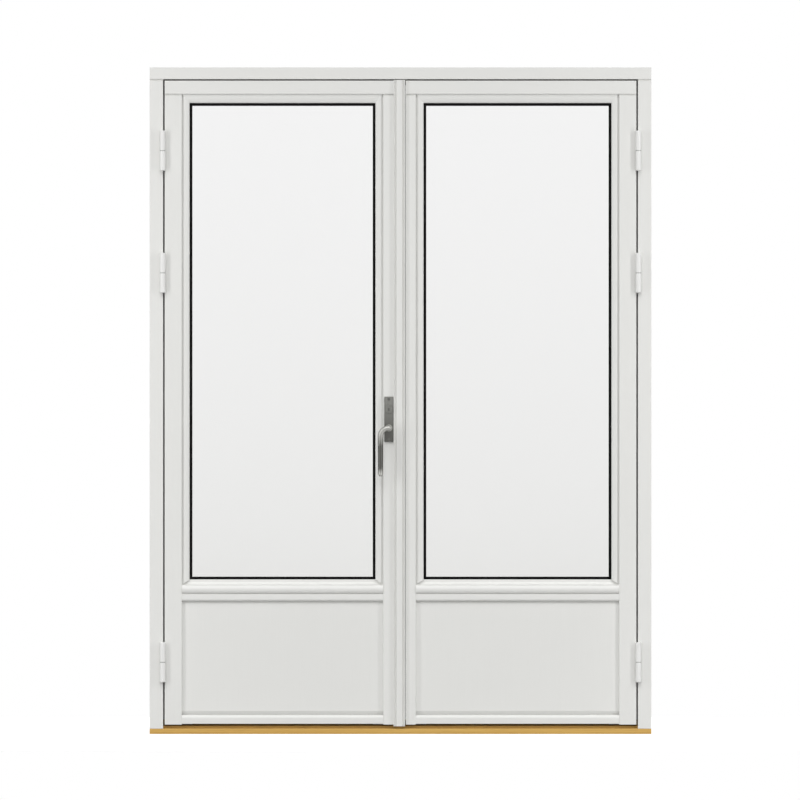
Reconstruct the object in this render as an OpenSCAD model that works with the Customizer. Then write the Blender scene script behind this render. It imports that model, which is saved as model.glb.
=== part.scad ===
// A pair of glazed timber doors in their frame, as seen from outside.
// The origin is the middle of the threshold's underside. Z is up and +Y runs into the building.
// The two leaves are hung on the jambs and swing out towards -Y.

/* [Frame] */
// Width over both jambs
frame_w = 1490; // [1390:10:1790]
// Height from the underside of the threshold to the top of the head
frame_h = 1980; // [1930:10:2280]
// Depth of the frame from outside to inside
frame_d = 115; // [105:1:150]
// Width of a jamb beside the leaf
jamb_w = 40; // [36:1:60]
// Height of the head above the leaves
head_h = 35.5; // [34:0.5:60]
// How far the stop stands in past the rebate
stop_reach = 17; // [12:1:24]
// Room between the back of a leaf and the stop, taken up by the seal
seal_room = 4; // [3:0.5:6]
// Radius of the eased edges of the timber
arris_r = 2; // [1:0.5:3]
// Height of the open joint on top of the jambs and the stiles
seam_h = 5; // [1:0.5:6]
// Depth of that open joint
seam_d = 5; // [1:0.5:5]

/* [Threshold] */
// Height of the threshold's front edge, which the jambs stand on
sill_front_h = 16; // [12:1:18]
// Height of the threshold under the leaves
sill_seat_h = 24; // [20:1:25]
// Height of the threshold's stop behind the leaves
sill_stop_h = 42; // [38:1:55]
// Depth of the ledge in front of the leaves
sill_ledge_d = 20; // [10:1:20]
// How much the ledge falls towards the front
sill_fall = 1.5; // [0.5:0.25:2]
// Height of the bevel along the foot of the threshold's front edge
sill_bevel_h = 6; // [2:0.5:8]
// Depth of that bevel
sill_bevel_d = 1; // [0.5:0.5:4]

/* [Leaves] */
// Thickness of a leaf
leaf_t = 60; // [56:1:68]
// Gap between a leaf and its jamb
side_gap = 4.5; // [4:0.5:6]
// Gap between a leaf and the head
top_gap = 4; // [3:0.5:6]
// Height of the feet of the stiles above the threshold's underside
leaf_foot = 28; // [27:0.5:34]
// How much higher than the feet the bottom rail ends
rail_lift = 2.5; // [2:0.5:6]
// Width of a hinge stile beside its bead
hinge_stile_w = 51; // [46:1:70]
// Width of the left leaf's meeting stile, which carries the cover strip and the lock
left_meeting_w = 65; // [65:1:80]
// Width of the right leaf's meeting stile
right_meeting_w = 30; // [29:1:40]
// Distance of the joint between the leaves to the right of the middle
joint_x = 14.5; // [12:0.5:18]
// Gap between the leaves at the front
joint_gap = 2; // [2:0.5:4]
// How far each meeting edge slopes back, so that either leaf can swing by itself
meeting_bevel = 4; // [4:0.5:6]
// Height of a top rail
top_rail_h = 39.5; // [34:0.5:60]
// Height of the underside of a middle rail above the threshold's underside
mid_rail_z = 394; // [300:1:600]
// Height of a middle rail's front face
mid_rail_h = 22; // [20:1:40]
// Radius of the rounded lower edge of a middle rail
mid_rail_r = 7; // [3:1:9]
// Height of the top of a bottom rail above the threshold's underside
bottom_rail_z = 57; // [56:1:90]
// Size of the rounded top edge of a bottom rail
bottom_rail_r = 10; // [6:1:11]

/* [Glazing] */
// Width of a side bead
bead_w = 23; // [18:1:30]
// Height of a top bead
top_bead_h = 27; // [20:1:34]
// Depth of the beads from the face of the leaf to the gasket
bead_d = 17; // [15:0.5:18]
// Depth of the step between the face of the leaf and a bead
bead_step = 5.5; // [2:0.5:6]
// Width of the groove between a side bead and its stile
quirk_w = 5; // [3:0.5:6]
// Depth of that groove below the step
quirk_d = 4; // [2:0.5:5]
// Thickness of a bead's thin edge beside the glass
bead_edge = 4.5; // [3:0.5:6]
// Height of the sill bead under the glass
sill_bead_h = 43; // [40:1:50]
// Depth of the sill bead's rounded nose
nose_d = 9; // [7:0.5:9]
// Height of the sill bead's rounded nose
nose_h = 27; // [20:1:30]
// Height of the sill bead's upright face below the glass
sill_face_h = 7; // [2:0.5:8]
// How far the sill bead's nose stands out from the face of the leaf
nose_reach = 4; // [2:0.5:8]
// Width of the gasket that shows between bead and glass
gasket_show = 8; // [5:0.5:10]
// Width of the gasket behind the bead
gasket_lap = 10; // [8:1:14]
// Thickness of the gaskets
gasket_t = 3; // [2:0.5:4]
// Thickness of one pane
pane_t = 4; // [3:0.5:5]
// Space between the two panes
pane_space = 16; // [12:1:16]
// Room between the edge of the glass and the timber
glass_room = 5; // [4:0.5:6]
// Width of the spacer bar between the panes
spacer_w = 9; // [6:1:11]
// Length of a setting block under the glass
block_l = 100; // [50:5:120]

/* [Panel] */
// Depth of the panel's face behind the face of the leaf
panel_recess = 11; // [11:1:16]
// Depth of the groove that holds the panel
panel_groove = 7; // [5:1:7]
// Height of the sloping lower margin of the panel
drip_h = 12; // [8:1:20]
// Depth of the sloping lower margin of the panel
drip_d = 5; // [2:0.5:8]

/* [Cover strip] */
// Width of the cover strip
strip_w = 34; // [28:1:34]
// Thickness of the cover strip
strip_t = 8; // [7.5:0.5:9]
// Width of the hollow along each edge of the cover strip
strip_hollow_w = 7.5; // [4:0.5:9]
// Depth of those hollows
strip_hollow_d = 5.5; // [2:0.5:6]
// Width of the flat edges beside the hollows
strip_edge_w = 1.5; // [1:0.5:3]
// How far the cover strip runs past the leaf at its top
strip_over = 2; // [1:0.5:2.5]
// How far the cover strip runs past the leaf at its foot
strip_under = 5; // [2:1:8]

/* [Hinges] */
// Radius of a hinge knuckle
knuckle_r = 9; // [8:0.5:9]
// Height of a hinge
hinge_h = 119; // [100:1:130]
// Radius of the hinge pins
pin_r = 5; // [4:0.5:5]
// Distance of the hinge axis in front of the face of the leaf
hinge_stand = 10; // [10:0.5:12]
// Distance of the hinge axis beyond the rebate
hinge_set = 1.5; // [1:0.25:2]
// Middle of the top hinge below the top of the leaf
hinge_top_drop = 208; // [120:1:260]
// Middle of the second hinge below the top of the leaf
hinge_second_drop = 571; // [450:1:800]
// Middle of the bottom hinge above the foot of the leaf
hinge_low_rise = 185; // [120:5:260]
// Thickness of a hinge flap
flap_t = 2.5; // [2:0.25:3]
// Depth to which a flap is let into the edge
flap_d = 36; // [32:1:40]
// Gap between the two halves of a hinge
hinge_split = 3; // [1.5:0.25:3]

/* [Handle] */
// Width of a handle plate
plate_w = 27; // [24:0.5:27]
// Height of a handle plate
plate_h = 134; // [130:1:160]
// Thickness of a handle plate
plate_t = 8; // [6:0.5:10]
// Height of the spindle above the threshold's underside
spindle_z = 909; // [860:1:1100]
// Distance from the spindle to the foot of the plate
plate_below = 41; // [38:1:45]
// Distance of the spindle from the left leaf's meeting edge
backset = 48; // [48:0.5:50]
// Width of the square spindle
spindle_w = 7; // [6:0.5:8]
// Distance of the grip to the side of the spindle
grip_offset = 25; // [20:1:40]
// Distance from the spindle down to the end of the grip
grip_drop = 144; // [110:1:150]
// Radius of the grip
grip_r = 7.5; // [6:0.5:9]
// Radius of the lever's neck
neck_r = 8; // [5:0.5:8]
// Distance from the face of the leaf to the middle of the grip
lever_stand = 46; // [40:1:60]

/* [Lock] */
// Module of the rack and pinion
gear_module = 1; // [1:0.05:1.05]
// Radius of the bolt rods
rod_r = 5; // [4:0.5:5]
// Distance from the spindle up to the lock cylinder
cylinder_rise = 55; // [50:1:56]
// Radius of the lock cylinder
cylinder_r = 12; // [10:0.5:12]
// Clear height of the lock case below the spindle
case_below = 48; // [46:1:60]
// Clear height of the lock case above the spindle
case_above = 80; // [72:1:90]
// Thickness of the lock case from front to back
case_t = 17; // [16:0.5:18]
// Wall of the lock case
case_wall = 1.5; // [1:0.25:2]

/* [Flush bolts] */
// Radius of a flush bolt
flush_r = 5; // [4:0.5:5]
// Length of a flush bolt
flush_l = 220; // [160:5:300]
// Travel of a flush bolt
flush_travel = 18; // [12:1:18]
// Distance of a flush bolt from the right leaf's meeting edge
flush_inset = 14.5; // [13:0.5:15]

/* [Fixings] */
// Radius of the holes for the wall fixings in the jambs
fixing_r = 5.5; // [4:0.5:6]
// Height of the lowest wall fixing
fixing_low = 90; // [90:5:110]
// Distance of the highest wall fixing from the top of the frame
fixing_top = 90; // [90:5:120]
// Height of the lower of the two middle wall fixings
fixing_mid_low = 620; // [560:10:700]
// Height of the upper of the two middle wall fixings
fixing_mid_high = 1200; // [1000:10:1220]
// Radius of the shanks of the wood screws
screw_r = 2; // [1.5:0.25:2.5]
// Radius of the heads of the wood screws
screw_head_r = 4; // [3.5:0.25:4.5]

/* [Hidden] */
$fn = 48;
arc_deg = 9;
cut = 1;
fit = 0.1;
run_fit = 0.05;
turn_gap = 0.3;

// Planes of the frame and the leaves
front_y = -frame_d / 2;
back_y = frame_d / 2;
leaf_back_y = front_y + leaf_t;
leaf_mid_y = front_y + leaf_t / 2;
stop_y = leaf_back_y + seal_room;
half_w = frame_w / 2;
rebate_x = half_w - jamb_w;
stop_x = rebate_x - stop_reach;
head_z = frame_h - head_h;
leaf_x = rebate_x - side_gap;
leaf_top = head_z - top_gap;
stile_top = leaf_top - top_rail_h;
rail_foot = leaf_foot + rail_lift;
seam_r = 1;

// Meeting edges: the left leaf as it stands, the right leaf mirrored onto the left side
left_meet = joint_x - joint_gap / 2;
right_meet = -joint_x - joint_gap / 2;
LEFT = [left_meet, left_meet - left_meeting_w];
RIGHT = [right_meet, right_meet - right_meeting_w];
stile_in = -leaf_x + hinge_stile_w;

// Glazing rebate
lip_w = bead_w + gasket_show;
bead_back_y = front_y + bead_d;
glass_y = bead_back_y + gasket_t;
inner_pane_y = glass_y + pane_t + pane_space;
glass_back_y = inner_pane_y + pane_t;
lip_y = glass_back_y + gasket_t;
rail_shelf_z = mid_rail_z + mid_rail_h;
sill_bead_z = rail_shelf_z + sill_bead_h;
glass_cover = lip_w - glass_room;
glass_foot = sill_bead_z + gasket_show - glass_cover;
glass_top = stile_top - glass_room;
glass_seat_z = glass_foot - glass_room;
bead_slope_d = bead_d - bead_step - bead_edge;
spacer_inset = 2;
block_share = 0.2;

// Sill bead: an upright face below the glass, a hollow and a round nose
nose_y = front_y - nose_reach + nose_d;
nose_z = rail_shelf_z + nose_h / 2;
nose_top = rail_shelf_z + nose_h;
sill_edge = 1.5;
hollow_z = sill_bead_z - sill_face_h;
hollow_rise = hollow_z - nose_top;
hollow_run = bead_back_y - sill_edge - nose_y;

// Panel
panel_y = front_y + panel_recess;
panel_foot = bottom_rail_z - panel_groove;
panel_top = mid_rail_z + panel_groove;
panel_play = 1;

// Dowels between stiles and rails
dowel_r = 4.5;
dowel_in = 32;
dowel_cover = 0.6;
dowel_y = lip_y - dowel_r - dowel_cover;
mid_dowel_z = (panel_top + glass_seat_z) / 2;
low_dowel_z = (rail_foot + panel_foot) / 2;
top_dowel_cover = 6.5;
top_dowel_y = front_y + dowel_r + top_dowel_cover;

// Hinges, as lift-off pairs of knuckles
hinge_x = rebate_x + hinge_set;
hinge_y = front_y - hinge_stand;
hinge_zs = [leaf_foot + hinge_low_rise, leaf_top - hinge_second_drop, leaf_top - hinge_top_drop];
half_l = hinge_h / 2 - hinge_split / 2;
knuckle_chamfer = 2;
pin_end = 8;
flap_margin = 4;
washer_r = 7.5;
washer_t = hinge_split - turn_gap;
hinge_screw_l = 24;
hinge_screw_y_shares = [0.4, 0.75, 0.4];
hinge_screw_z_shares = [0.18, 0.5, 0.82];
screw_head_h = 2.2;
screw_point = 4;

// Handle and lock
spindle_x = left_meet - backset;
plate_z = spindle_z - plate_below;
plate_corner = 2;
plate_bevel = 1.5;
plate_screw_inset = 8;
plate_screw_l = 24;
boss_r = 8;
boss_in = 5;
collar_r = 10.5;
collar_h = 6;
socket_l = 14;
spindle_room = 1;
spindle_hole_r = spindle_w / sqrt(2) + spindle_room;
lever_y = front_y - lever_stand;
cylinder_z = spindle_z + cylinder_rise;
cylinder_out = 4;
key_slot_w = 2;
key_slot_h = 9;
key_slot_d = 12;
turn_hub_r = 9;
turn_wing_w = 7;
turn_wing_l = 26;
turn_wing_d = 16;
turn_tail = 12;

// Rack and pinion: the pinion sits on the spindle and moves both rods
pinion_teeth = 16;
pressure_angle = 20;
pitch_r = gear_module * pinion_teeth / 2;
tooth_pitch = PI * gear_module;
addendum_share = 0.85;
dedendum_share = 1.1;
addendum = addendum_share * gear_module;
dedendum = dedendum_share * gear_module;
backlash = 0.1;
gear_w = 6;
pinion_hub_r = 6.6;
handle_turn_deg = 90;
rod_travel = pitch_r * handle_turn_deg * PI / 180;
rack_back = 2.6;
rack_reach_x = pitch_r + dedendum + rack_back;
rack_more = 6;
bridge_z = 22;
bridge_h = 9;
rod_inset = 0.5;
rack_room = 0.8;
case_half_w = rack_reach_x + rack_room;

// Flush bolts in the right leaf, mirrored onto the left side
flush_x = right_meet - flush_inset;
flush_inset_end = 0.5;
tab_w = 8;
tab_h = 12;
tab_recess = 1;
tab_rise = 30;

// Strikes in the head and the threshold
strike_t = 2;
strike_w = 18;
strike_l = 60;
strike_room = 1;
strike_hole_r = max(rod_r, flush_r) + strike_room;
socket_deep = 16;
strike_screw_share = 0.36;
strike_screw_l = 12;

// Wall fixings and corner screws
fixing_y = (front_y + stop_y) / 2;
corner_screw_l = 80;
corner_screw_ys = [front_y + frame_d / 4, back_y - frame_d / 4];
corner_screw_x = half_w - jamb_w / 2;

// Seals
seal_r = seal_room - turn_gap;
seal_inset = 3;
meeting_seal_r = 2;
meeting_seal_share = 0.16;

PAINT = "#e2e2df";
OAK = "#d0a857";
STEEL = "#8c8c88";
RUBBER = "#0a0a0a";
WHITE_METAL = "#f2f2f0";

// Angles from one to the other in even steps, and the points of an arc and an ellipse over them
function angles(a0, a1) =
    let (steps = ceil(abs(a1 - a0) / arc_deg)) [for (i = [0:steps]) a0 + (a1 - a0) * i / steps];
function arc(c, r, a0, a1) = [for (a = angles(a0, a1)) c + r * [cos(a), sin(a)]];
function ellipse(c, rx, ry, a0, a1) = [for (a = angles(a0, a1)) c + [rx * cos(a), ry * sin(a)]];

// A block between two opposite corners
module block(low, high) {
    translate(low) cube(high - low);
}

// Outlines drawn in the YZ, XZ and XY planes, drawn out along the third axis
module along_x(x0, x1) {
    translate([x0, 0, 0]) rotate([90, 0, 90]) linear_extrude(x1 - x0) children();
}
module along_y(y0, y1) {
    translate([0, y1, 0]) rotate([90, 0, 0]) linear_extrude(y1 - y0) children();
}
module along_z(z0, z1) {
    translate([0, 0, z0]) linear_extrude(z1 - z0) children();
}

// Rods along each axis from one place to another
module rod_x(r, x0, x1, y, z) {
    translate([x0, y, z]) rotate([0, 90, 0]) cylinder(r = r, h = x1 - x0);
}
module rod_y(r, x, y0, y1, z) {
    translate([x, y0, z]) rotate([-90, 0, 0]) cylinder(r = r, h = y1 - y0);
}
module rod_z(r, x, y, z0, z1) {
    translate([x, y, z0]) cylinder(r = r, h = z1 - z0);
}

module on_right() {
    mirror([1, 0, 0]) children();
}

// The same thing on the inside of the leaf
module on_inside() {
    translate([0, 2 * leaf_mid_y, 0]) mirror([0, 1, 0]) children();
}

// A countersunk wood screw that points up from the origin, or its hole when it is grown
module wood_screw(l, grow = 0) {
    rotate_extrude() polygon([
        [0, 0], [screw_head_r + grow, 0], [screw_r + grow, screw_head_h],
        [screw_r + grow, l - screw_point + grow], [screw_r / 2, l + grow], [0, l + grow]]);
}

// Frame

module jamb_outline() {
    polygon(concat(
        [[-half_w, back_y]],
        arc([-half_w + arris_r, front_y + arris_r], arris_r, 180, 270),
        arc([-rebate_x - arris_r, front_y + arris_r], arris_r, 270, 360),
        [[-rebate_x, back_y]]));
}

// The open joint between an upright, whose top is at z, and the timber that lies on it
module seam(x0, x1, z) {
    block([x0 - cut, front_y - cut, z - seam_h], [x1 + cut, front_y + seam_d, z + cut]);
}

module fixing_holes() {
    for (z = [fixing_low, fixing_mid_low, fixing_mid_high, frame_h - fixing_top])
        rod_x(fixing_r, -half_w - cut, -rebate_x + cut, fixing_y, z);
}

module jamb() {
    color(PAINT) difference() {
        union() {
            along_z(sill_front_h, head_z) jamb_outline();
            block([-rebate_x - cut, stop_y, sill_stop_h], [-stop_x, back_y, head_z]);
        }
        seam(-half_w, -rebate_x, head_z);
        fixing_holes();
        frame_flap_pockets();
        hinge_screws_in_frame(fit);
        corner_screws(fit);
    }
}

module head_outline() {
    polygon(concat(
        [[back_y, frame_h]],
        arc([front_y + arris_r, frame_h - arris_r], arris_r, 90, 180),
        arc([front_y + arris_r, head_z + arris_r], arris_r, 180, 270),
        [[back_y, head_z]]));
}

module frame_head() {
    color(PAINT) difference() {
        union() {
            along_x(-half_w, half_w) head_outline();
            block([-stop_x, stop_y, head_z - stop_reach], [stop_x, back_y, head_z + cut]);
        }
        strike_cuts(head_z, 1);
        corner_screws(fit);
        on_right() corner_screws(fit);
    }
}

// Front edge of the threshold's section, from the ledge down to the underside
sill_front = concat(
    arc([front_y + arris_r, sill_front_h - arris_r], arris_r, 90, 180),
    [[front_y, sill_bevel_h], [front_y + sill_bevel_d, 0]]);

module threshold() {
    ledge_y = front_y + sill_ledge_d;
    color(OAK) difference() {
        union() {
            along_x(-rebate_x, rebate_x) polygon(concat(
                [[back_y, 0], [back_y, sill_stop_h], [stop_y, sill_stop_h], [stop_y, sill_seat_h],
                 [ledge_y, sill_seat_h], [ledge_y, sill_front_h + sill_fall]],
                sill_front));
            along_x(-half_w, half_w) polygon(concat(
                [[back_y, 0], [back_y, sill_front_h]],
                sill_front));
        }
        strike_cuts(sill_seat_h, -1);
        corner_screws(fit);
        on_right() corner_screws(fit);
    }
}

// Half-round seal strips on the stop, one straight length a side
module seal_outline() {
    intersection() {
        circle(seal_r);
        translate([-seal_r, -seal_r]) square([2 * seal_r, seal_r]);
    }
}

module frame_seal() {
    seal_x = stop_x + seal_inset + seal_r;
    low_z = sill_stop_h - seal_inset - seal_r;
    high_z = head_z - stop_reach + seal_inset + seal_r;
    color(RUBBER) {
        for (side = [-1, 1])
            along_z(low_z + seal_r + fit, high_z - seal_r - fit)
                translate([side * seal_x, stop_y]) seal_outline();
        for (z = [low_z, high_z])
            along_x(-seal_x, seal_x)
                translate([stop_y, z]) rotate(-90) seal_outline();
    }
}

// Screws through the head and the threshold into the ends of the left jamb
module corner_screws(grow = 0) {
    for (y = corner_screw_ys) {
        translate([-corner_screw_x, y, frame_h]) mirror([0, 0, 1]) wood_screw(corner_screw_l, grow);
        translate([-corner_screw_x, y, 0]) wood_screw(corner_screw_l, grow);
    }
}

// Places of the strikes: under the left leaf's rods and the right leaf's flush bolts
strike_xs = [spindle_x, -flush_x];

module strike_at(x, z, way) {
    translate([x, leaf_mid_y, z]) mirror([0, 0, way < 0 ? 1 : 0]) children();
}

module strike_screws(grow = 0) {
    for (side = [-1, 1])
        translate([side * strike_l * strike_screw_share, 0, 0]) wood_screw(strike_screw_l, grow);
}

module strike_cuts(z, way) {
    for (x = strike_xs) strike_at(x, z, way) {
        translate([0, 0, strike_t / 2])
            cube([strike_l + 2 * fit, strike_w + 2 * fit, strike_t + 2 * fit], center = true);
        cylinder(r = strike_hole_r, h = socket_deep);
        strike_screws(fit);
    }
}

module strikes(z, way) {
    color(STEEL) for (x = strike_xs) strike_at(x, z, way) difference() {
        translate([-strike_l / 2, -strike_w / 2, 0]) cube([strike_l, strike_w, strike_t]);
        translate([0, 0, -cut]) cylinder(r = strike_hole_r, h = strike_t + 2 * cut);
        strike_screws(fit);
    }
}

module frame_screws() {
    color(STEEL) {
        corner_screws();
        on_right() corner_screws();
        for (x = strike_xs) {
            strike_at(x, head_z, 1) strike_screws();
            strike_at(x, sill_seat_h, -1) strike_screws();
        }
    }
}

// Hinges, drawn on the left side

module knuckle() {
    rotate_extrude() polygon([
        [0, 0], [knuckle_r, 0], [knuckle_r, half_l - knuckle_chamfer],
        [knuckle_r - knuckle_chamfer, half_l], [0, half_l]]);
}

// Each screw of a flap as its depth behind the face of the leaf and its height on the flap
flap_l = half_l - flap_margin;
flap_screws = [for (i = [0:2]) [front_y + flap_d * hinge_screw_y_shares[i],
                                flap_l * hinge_screw_z_shares[i]]];

// The upper half, which is screwed to the leaf and turns on the pin
module hinge_leaf_half(z) {
    low = z + hinge_split / 2;
    difference() {
        union() {
            translate([-hinge_x, hinge_y, low]) knuckle();
            block([-leaf_x, hinge_y, low], [-leaf_x + flap_t, front_y + flap_d, low + flap_l]);
        }
        rod_z(pin_r + run_fit, -hinge_x, hinge_y, low - cut, low + half_l - pin_end + turn_gap);
        leaf_flap_screws(z, fit);
    }
}

module leaf_flap_screws(z, grow = 0) {
    for (s = flap_screws)
        translate([-leaf_x, s[0], z + hinge_split / 2 + s[1]])
            rotate([0, 90, 0]) wood_screw(hinge_screw_l, grow);
}

module leaf_flap_pockets() {
    for (z = hinge_zs) {
        low = z + hinge_split / 2;
        block([-leaf_x - cut, front_y - cut, low - fit],
              [-leaf_x + flap_t + fit, front_y + flap_d + fit, low + flap_l + fit]);
    }
}

module hinge_halves() {
    color(WHITE_METAL) for (z = hinge_zs) hinge_leaf_half(z);
}

module hinge_screws_in_leaf(grow = 0) {
    for (z = hinge_zs) leaf_flap_screws(z, grow);
}

// The lower half, which is screwed to the jamb and holds the pin
module hinge_frame_half(z) {
    high = z - hinge_split / 2;
    difference() {
        union() {
            translate([-hinge_x, hinge_y, high]) mirror([0, 0, 1]) knuckle();
            block([-rebate_x - flap_t, hinge_y + pin_r + fit, high - flap_l],
                  [-rebate_x, front_y + flap_d, high]);
        }
        rod_z(pin_r + run_fit, -hinge_x, hinge_y, high - half_l + pin_end, high + cut);
        frame_flap_screws(z, fit);
    }
}

module frame_flap_screws(z, grow = 0) {
    for (s = flap_screws)
        translate([-rebate_x, s[0], z - hinge_split / 2 - s[1]])
            rotate([0, -90, 0]) wood_screw(hinge_screw_l, grow);
}

module frame_flap_pockets() {
    for (z = hinge_zs) {
        high = z - hinge_split / 2;
        block([-rebate_x - flap_t - fit, front_y - cut, high - flap_l - fit],
              [-rebate_x + cut, front_y + flap_d + fit, high + fit]);
    }
}

module hinge_screws_in_frame(grow = 0) {
    for (z = hinge_zs) frame_flap_screws(z, grow);
}

module both_sides() {
    children();
    on_right() children();
}

module hinge_frame_halves() {
    color(WHITE_METAL) both_sides() for (z = hinge_zs) hinge_frame_half(z);
}

module hinge_pins() {
    color(STEEL) both_sides() for (z = hinge_zs)
        rod_z(pin_r, -hinge_x, hinge_y, z - hinge_h / 2 + pin_end, z + hinge_h / 2 - pin_end);
}

module hinge_washers() {
    color(STEEL) both_sides() for (z = hinge_zs) difference() {
        rod_z(washer_r, -hinge_x, hinge_y, z - hinge_split / 2, z - hinge_split / 2 + washer_t);
        rod_z(pin_r + run_fit, -hinge_x, hinge_y, z - hinge_split, z + hinge_split);
    }
}

module hinge_frame_screws() {
    color(STEEL) both_sides() hinge_screws_in_frame();
}

// Leaves, drawn on the left side. A leaf is its meeting edge and its meeting stile's inner edge.

// Section of a hinge stile: a front with an eased edge, and a lip behind the glass
module hinge_stile_outline() {
    polygon(concat(
        arc([-leaf_x + arris_r, front_y + arris_r], arris_r, 180, 270),
        arc([stile_in - seam_r, front_y + seam_r], seam_r, 270, 360),
        [[stile_in, lip_y], [stile_in + lip_w, lip_y], [stile_in + lip_w, leaf_back_y],
         [-leaf_x, leaf_back_y]]));
}

module meeting_stile_outline(leaf) {
    polygon(concat(
        [[leaf[1] - lip_w, leaf_back_y], [leaf[1] - lip_w, lip_y], [leaf[1], lip_y]],
        arc([leaf[1] + seam_r, front_y + seam_r], seam_r, 180, 270),
        arc([leaf[0] - arris_r, front_y + arris_r], arris_r, 270, 360),
        [[leaf[0] - meeting_bevel, leaf_back_y]]));
}

module panel_space(leaf) {
    block([stile_in - panel_groove, panel_y, panel_foot],
          [leaf[1] + panel_groove, lip_y, panel_top]);
}

// Dowels that tie the rails to the stiles
module dowels(leaf, grow = 0) {
    for (x = [stile_in, leaf[1]])
        for (z = [mid_dowel_z, low_dowel_z])
            rod_x(dowel_r + grow, x - dowel_in / 2 - grow, x + dowel_in / 2 + grow, dowel_y, z);
    for (x = [(stile_in - leaf_x) / 2, (leaf[0] + leaf[1]) / 2])
        rod_z(dowel_r + grow, x, top_dowel_y, stile_top - dowel_in - grow,
              stile_top + dowel_in / 2 + grow);
}

module hinge_stile(leaf) {
    color(PAINT) difference() {
        along_z(leaf_foot, stile_top) hinge_stile_outline();
        seam(-leaf_x, stile_in, stile_top);
        panel_space(leaf);
        dowels(leaf, fit);
        leaf_flap_pockets();
        hinge_screws_in_leaf(fit);
    }
}

module meeting_stile(leaf) {
    color(PAINT) difference() {
        along_z(leaf_foot, stile_top) meeting_stile_outline(leaf);
        seam(leaf[1], leaf[0], stile_top);
        panel_space(leaf);
        dowels(leaf, fit);
    }
}

// The top rail runs over both stiles
module top_rail_outline() {
    polygon(concat(
        [[leaf_back_y, leaf_top]],
        arc([front_y + arris_r, leaf_top - arris_r], arris_r, 90, 180),
        arc([front_y + seam_r, stile_top + seam_r], seam_r, 180, 270),
        [[leaf_back_y, stile_top]]));
}

module top_rail(leaf) {
    color(PAINT) difference() {
        union() {
            intersection() {
                along_x(-leaf_x, leaf[0]) top_rail_outline();
                along_z(stile_top, leaf_top) polygon([
                    [-leaf_x, front_y], [leaf[0], front_y],
                    [leaf[0] - meeting_bevel, leaf_back_y], [-leaf_x, leaf_back_y]]);
            }
            block([stile_in + lip_w, lip_y, stile_top - top_bead_h - gasket_show],
                  [leaf[1] - lip_w, leaf_back_y, stile_top + cut]);
        }
        dowels(leaf, fit);
    }
}

// Section of a middle rail, with the points of its lip where it has one
module mid_rail_outline(lip) {
    polygon(concat(
        arc([front_y + mid_rail_r, mid_rail_z + mid_rail_r], mid_rail_r, 180, 270),
        [[panel_y, mid_rail_z], [panel_y, panel_top], [lip_y, panel_top]],
        lip,
        [[lip_y, glass_seat_z], [bead_back_y, glass_seat_z], [bead_back_y, rail_shelf_z],
         [front_y, rail_shelf_z]]));
}

module mid_rail(leaf) {
    color(PAINT) difference() {
        union() {
            along_x(stile_in, leaf[1]) mid_rail_outline([]);
            along_x(stile_in + lip_w, leaf[1] - lip_w) mid_rail_outline([
                [lip_y, mid_rail_z - lip_w], [leaf_back_y, mid_rail_z - lip_w],
                [leaf_back_y, sill_bead_z + gasket_show], [lip_y, sill_bead_z + gasket_show]]);
        }
        dowels(leaf, fit);
    }
}

// Section of a bottom rail, with the points of its back
module bottom_rail_outline(back) {
    polygon(concat(
        back,
        [[lip_y, panel_foot], [panel_y, panel_foot], [panel_y, bottom_rail_z]],
        arc([front_y + bottom_rail_r, bottom_rail_z - bottom_rail_r], bottom_rail_r, 90, 180),
        [[front_y, rail_foot]]));
}

module bottom_rail(leaf) {
    color(PAINT) difference() {
        union() {
            along_x(stile_in, leaf[1]) bottom_rail_outline([[lip_y, rail_foot]]);
            along_x(stile_in + lip_w, leaf[1] - lip_w) bottom_rail_outline([
                [leaf_back_y, rail_foot], [leaf_back_y, bottom_rail_z + lip_w],
                [lip_y, bottom_rail_z + lip_w]]);
        }
        dowels(leaf, fit);
    }
}

module leaf_dowels(leaf) {
    color(OAK) dowels(leaf);
}

// The flat panel sits loose in its groove, and its lower margin slopes back
module panel(leaf) {
    drip_z = bottom_rail_z + drip_h;
    color(PAINT)
        along_x(stile_in - panel_groove + panel_play, leaf[1] + panel_groove - panel_play)
            polygon([
                [lip_y - fit, panel_foot + panel_play], [lip_y - fit, panel_top - panel_play],
                [panel_y + fit, panel_top - panel_play], [panel_y + fit, drip_z],
                [panel_y + fit + drip_d, bottom_rail_z],
                [panel_y + fit + drip_d, panel_foot + panel_play]]);
}

// The double glazing: two panes on spacer bars
module panes(leaf) {
    color([0.9, 0.94, 0.94, 0.35]) for (y = [glass_y, inner_pane_y])
        block([stile_in + glass_room, y, glass_foot], [leaf[1] - glass_room, y + pane_t, glass_top]);
}

// A rectangular ring of this width inside its outer edges
module ring_outline(x0, z0, x1, z1, w) {
    difference() {
        translate([x0, z0]) square([x1 - x0, z1 - z0]);
        translate([x0 + w, z0 + w]) square([x1 - x0 - 2 * w, z1 - z0 - 2 * w]);
    }
}

module spacer(leaf) {
    x0 = stile_in + glass_room + spacer_inset;
    x1 = leaf[1] - glass_room - spacer_inset;
    z0 = glass_foot + spacer_inset;
    z1 = glass_top - spacer_inset;
    color(STEEL) along_y(glass_y + pane_t, inner_pane_y) ring_outline(x0, z0, x1, z1, spacer_w);
}

// Gasket rings before and behind the glass
module gaskets(leaf) {
    x0 = stile_in + bead_w - gasket_lap;
    x1 = leaf[1] - bead_w + gasket_lap;
    z0 = sill_bead_z - gasket_lap;
    z1 = stile_top - top_bead_h + gasket_lap;
    color(RUBBER) for (y = [bead_back_y, glass_back_y])
        along_y(y, y + gasket_t) ring_outline(x0, z0, x1, z1, gasket_lap + gasket_show);
}

module setting_blocks(leaf) {
    run = leaf[1] - stile_in;
    color(RUBBER) for (share = [block_share, 1 - block_share])
        translate([stile_in + run * share - block_l / 2, glass_y, glass_seat_z])
            cube([block_l, glass_back_y - glass_y, glass_room]);
}

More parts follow.
